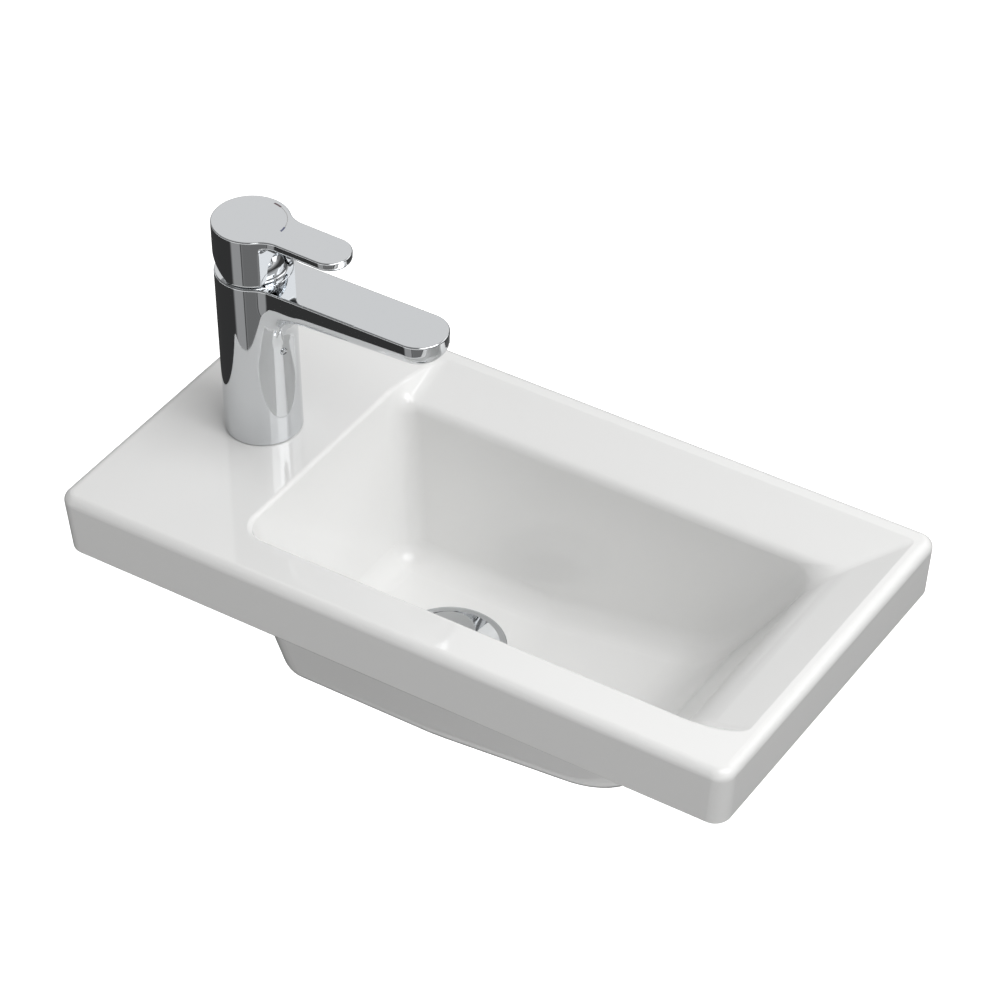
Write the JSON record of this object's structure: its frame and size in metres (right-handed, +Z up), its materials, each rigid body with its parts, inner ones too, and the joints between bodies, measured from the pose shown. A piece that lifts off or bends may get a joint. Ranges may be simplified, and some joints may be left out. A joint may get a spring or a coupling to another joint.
{
  "type": "vanity basin with mixer tap",
  "caption": "Small rectangular drop-on china vanity basin with an end tap deck, a single-lever ceramic-disc mixer and a push-open waste.",
  "frame": {"origin": "middle of the back (wall) edge of the basin, on the plane where the rim's underside sits on the cabinet", "axes": "+X along the basin away from the tap end, +Y towards the wall (the basin's front faces -Y), +Z up"},
  "size_m": [0.45, 0.2378, 0.3165],
  "materials": {
    "china": "white glazed china",
    "chrome": "bright chrome plate on cast brass",
    "aerator_ring": "chrome plate on turned brass",
    "aerator_plastic": "moulded grey acetal",
    "brass": "machined brass",
    "seal_rubber": "moulded black rubber",
    "white_plastic": "moulded polyethylene",
    "grey_plastic": "moulded glass-filled plastic",
    "zinc_steel": "zinc-plated steel",
    "stainless": "turned stainless steel",
    "alumina": "ground alumina ceramic"
  },
  "bodies": {
    "root": {"basin_body": "china", "waste_body": "chrome", "waste_top_seal": "seal_rubber", "waste_cone_seal": "seal_rubber", "waste_slip_washer": "white_plastic", "waste_back_nut": "brass", "latch_body": "grey_plastic", "latch_spring": "stainless", "tap_body": "chrome", "tap_base_seal": "seal_rubber", "chain_stay_plug": "chrome", "aerator_housing": "aerator_ring", "aerator_insert": "aerator_plastic", "aerator_gasket": "seal_rubber", "mounting_stud": "zinc_steel", "mounting_gasket": "seal_rubber", "mounting_plate": "zinc_steel", "stud_nut": "zinc_steel", "cartridge_base": "grey_plastic", "cartridge_seals": "seal_rubber", "fixed_disc": "alumina", "cartridge_housing": "grey_plastic", "cartridge_nut": "brass", "cartridge_cover": "chrome"},
    "turret": {"turret": "grey_plastic", "stem_pin": "stainless"},
    "slider": {"disc_carrier": "grey_plastic", "moving_disc": "alumina"},
    "lever": {"lever": "chrome", "cartridge_stem": "stainless", "lever_grub_screw": "stainless", "grub_screw_cap": "chrome"},
    "plug": {"plug_cap": "chrome", "plug_seal": "seal_rubber", "plug_stem": "stainless"}
  },
  "joints": [
    {"name": "lever_swing", "type": "hinge", "parent": "root", "child": "turret", "pos_m": [-0.162, -0.119, 0.152], "axis": [0, 0, 1], "range_deg": [0, 90]},
    {"name": "lever_tilt", "type": "hinge", "parent": "turret", "child": "lever", "pos_m": [-0.162, -0.119, 0.152], "axis": [0, -1, 0], "range_deg": [0, 24]},
    {"name": "disc_slide", "type": "slide", "parent": "turret", "child": "slider", "axis": [1, 0, 0], "range_m": [0, 0.00565]},
    {"name": "plug_slide", "type": "slide", "parent": "root", "child": "plug", "axis": [0, 0, 1], "range_m": [-0.012, 0], "stiffness_N_per_m": 150, "springref_m": 0.01, "deforming": ["latch_spring"]}
  ],
  "couplings": [
    {"joint": "disc_slide", "follows": "lever_tilt", "m_per_rad": 0.0134}
  ]
}
